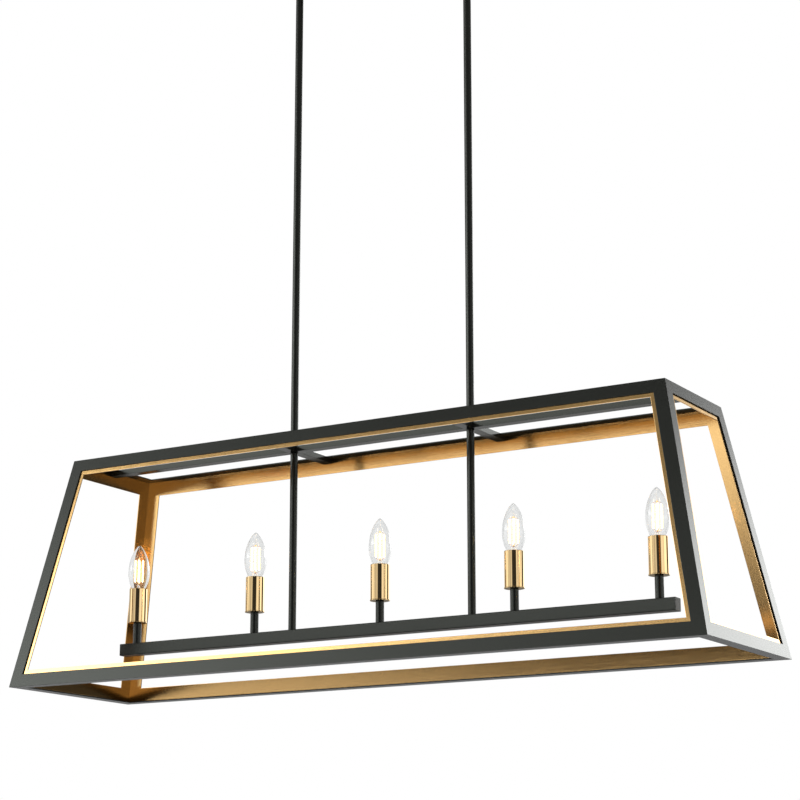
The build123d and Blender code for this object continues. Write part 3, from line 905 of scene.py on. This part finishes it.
lens = bpy.data.cameras.new("camera")
lens.sensor_width = sensor
lens.lens = focal_pixels / picture_pixels * sensor
lens.clip_end = far_clip
camera = bpy.data.objects.new("camera", lens)
camera.location = eye
camera.rotation_euler = ahead.to_track_quat("-Z", "Y").to_euler()
bpy.context.scene.collection.objects.link(camera)
bpy.context.scene.camera = camera

floor_level = -4.2
floor_half = 40.0
floor_corners = [(-1, -1), (1, -1), (1, 1), (-1, 1)]
floor_mesh = bpy.data.meshes.new("floor")
floor_mesh.from_pydata(
    [(x * floor_half, y * floor_half, floor_level) for x, y in floor_corners],
    [], [(0, 1, 2, 3)],
)
floor = bpy.data.objects.new("floor", floor_mesh)
bpy.context.scene.collection.objects.link(floor)
floor_material, flow, shader = finish("pale_floor", roughness=0.9)
wear = noise(flow, own_place(flow), 2.0, detail=3.0)
feed(flow, shader, base_color=wear.blend((0.88, 0.88, 0.875, 1), (0.92, 0.92, 0.915, 1)))
floor_mesh.materials.append(floor_material)
floor.visible_glossy = False

world = bpy.data.worlds.new("studio")
bpy.context.scene.world = world
world.use_nodes = True
world.node_tree.nodes.clear()
sky = Flow(world.node_tree)
direction = sky.node("ShaderNodeTexCoord", out="Generated")
east = sky.node("ShaderNodeSeparateXYZ", {}, {0: direction}, out="X")
north, height = other_output(east, "Y"), other_output(east, "Z")
bearing = sky.maths("ARCTAN2", north, east)
toward_camera = heading - math.pi / 2
turn = sky.node(
    "ShaderNodeMath", {"operation": "FRACT"},
    {0: (bearing - toward_camera) / (2 * math.pi) + 0.5},
)
brightest = 6.0


def ring_of(steps):
    """A ring of panels: its brightness by degrees left or right of the camera's side."""
    stops = []
    for angle, level in steps:
        share = level / brightest
        stops.append((0.5 + angle / 360, (share, share, share, 1)))
    return sky.node("ShaderNodeValToRGB", {"stops": stops}, {0: turn})


def level_between(low, high):
    """Goes from 0 to 1 between two heights above the horizon, in degrees."""
    ends = {1: math.sin(math.radians(low)), 2: math.sin(math.radians(high))}
    return sky.node("ShaderNodeMapRange", {}, {0: height, **ends})


# Each ring lists its brightness by angle, in degrees from the camera's side. Above the lowest
# ring, each one takes over between two heights, in degrees above the horizon.
lowest_ring = (
    (-150, 0.75), (-110, 0.1), (-60, 0.03), (-20, 0.45), (3, 0.45), (10, 0.14), (24, 0.02),
    (100, 0.02), (125, 0.06), (150, 0.75),
)
rings = [
    (-14, -12.5, (
        (-180, 0.2), (-120, 0.12), (-85, 0.3), (-70, 0.7), (-65, 0.55), (-60, 0.15), (-56, 0.06),
        (-38, 0.04), (125, 0.04), (180, 0.2),
    )),
    (-4.8, -3.4, (
        (-180, 1.0), (-150, 1.0), (-110, 0.5), (-90, 1.3), (-66, 1.4), (-40, 1.4), (-30, 0.4),
        (-20, 0.05), (20, 0.05), (60, 0.8), (90, 0.6), (104, 0.04), (125, 0.04), (140, 1.0),
    )),
    (3.5, 6, (
        (-180, 1.0), (-154, 1.0), (-140, 0.35), (-112, 0.45), (-104, 1.3), (-86, 1.4),
        (-81, 1.2), (-79, 0.3), (-76, 0.3), (-74, 0.9), (-64, 0.85), (-54, 0.55), (-46, 0.55),
        (-33, 0.95), (-24, 0.04), (18, 0.03), (25, 1.1), (48, 1.1), (54, 0.55), (60, 1.5),
        (90, 1.5), (98, 0.4), (104, 0.03), (125, 0.03), (130, 2.4), (147, 2.4), (154, 1.0),
    )),
    (12, 13.5, (
        (-180, 0.35), (-106, 0.35), (-96, 5.2), (-70, 5.0), (-62, 4.4), (-50, 4.2), (-38, 0.35),
        (-20, 0.06), (30, 0.08), (100, 0.3), (112, 0.6), (120, 5.4), (152, 5.4), (162, 0.35),
    )),
    (15.5, 17, (
        (-180, 0.3), (-106, 0.3), (-96, 4.8), (-70, 4.4), (-62, 1.6), (-50, 1.3), (-38, 0.3),
        (-20, 0.06), (30, 0.08), (100, 0.3), (112, 0.6), (120, 4.4), (152, 4.4), (162, 0.3),
    )),
    (17.5, 20, (
        (-180, 0.22), (-106, 0.22), (-96, 3.5), (-71, 3.1), (-62, 0.85), (-52, 0.5),
        (-38, 0.2), (-20, 0.06), (30, 0.08), (100, 0.22), (120, 0.9), (152, 0.9), (162, 0.22),
    )),
]
dim_ceiling = (0.22, 0.22, 0.21, 1)
ceiling_low, ceiling_high = 20.5, 24
mirrored = ring_of(lowest_ring)
for low, high, steps in rings:
    mirrored = level_between(low, high).blend(mirrored, ring_of(steps))
mirrored = sky.node(
    "ShaderNodeVectorMath", {"operation": "SCALE"}, {0: mirrored, "Scale": brightest}
)
mirrored = level_between(ceiling_low, ceiling_high).blend(mirrored, dim_ceiling)

room_light = (0.95, 0.95, 0.95, 1)
backdrop = (1, 1, 1, 1)
of_camera = sky.node("ShaderNodeLightPath", out="Is Camera Ray")
of_glossy = other_output(of_camera, "Is Glossy Ray")
of_glass = other_output(of_camera, "Is Transmission Ray")
sees_backdrop = sky.maths("MAXIMUM", of_camera, of_glass)
light = sees_backdrop.blend(of_glossy.blend(room_light, mirrored), backdrop)
background = sky.node("ShaderNodeBackground", {}, {0: light, 1: 1.0})
sky.node("ShaderNodeOutputWorld", {}, {0: background})

overhead_size = 2.2
overhead_power = 12.0
overhead_spot = Vector((-0.6, -1.2, 0.9))
lamp = bpy.data.lights.new("overhead_panel", "AREA")
lamp.shape = "RECTANGLE"
lamp.size, lamp.size_y = overhead_size, overhead_size
lamp.energy = overhead_power
overhead = bpy.data.objects.new("overhead_panel", lamp)
overhead.location = overhead_spot
down = Vector((0.0, 0.0, cage_base)) - overhead_spot
overhead.rotation_euler = down.to_track_quat("-Z", "Y").to_euler()
overhead.visible_camera = False
overhead.visible_glossy = False
bpy.context.scene.collection.objects.link(overhead)

bpy.context.scene.view_settings.view_transform = "Standard"
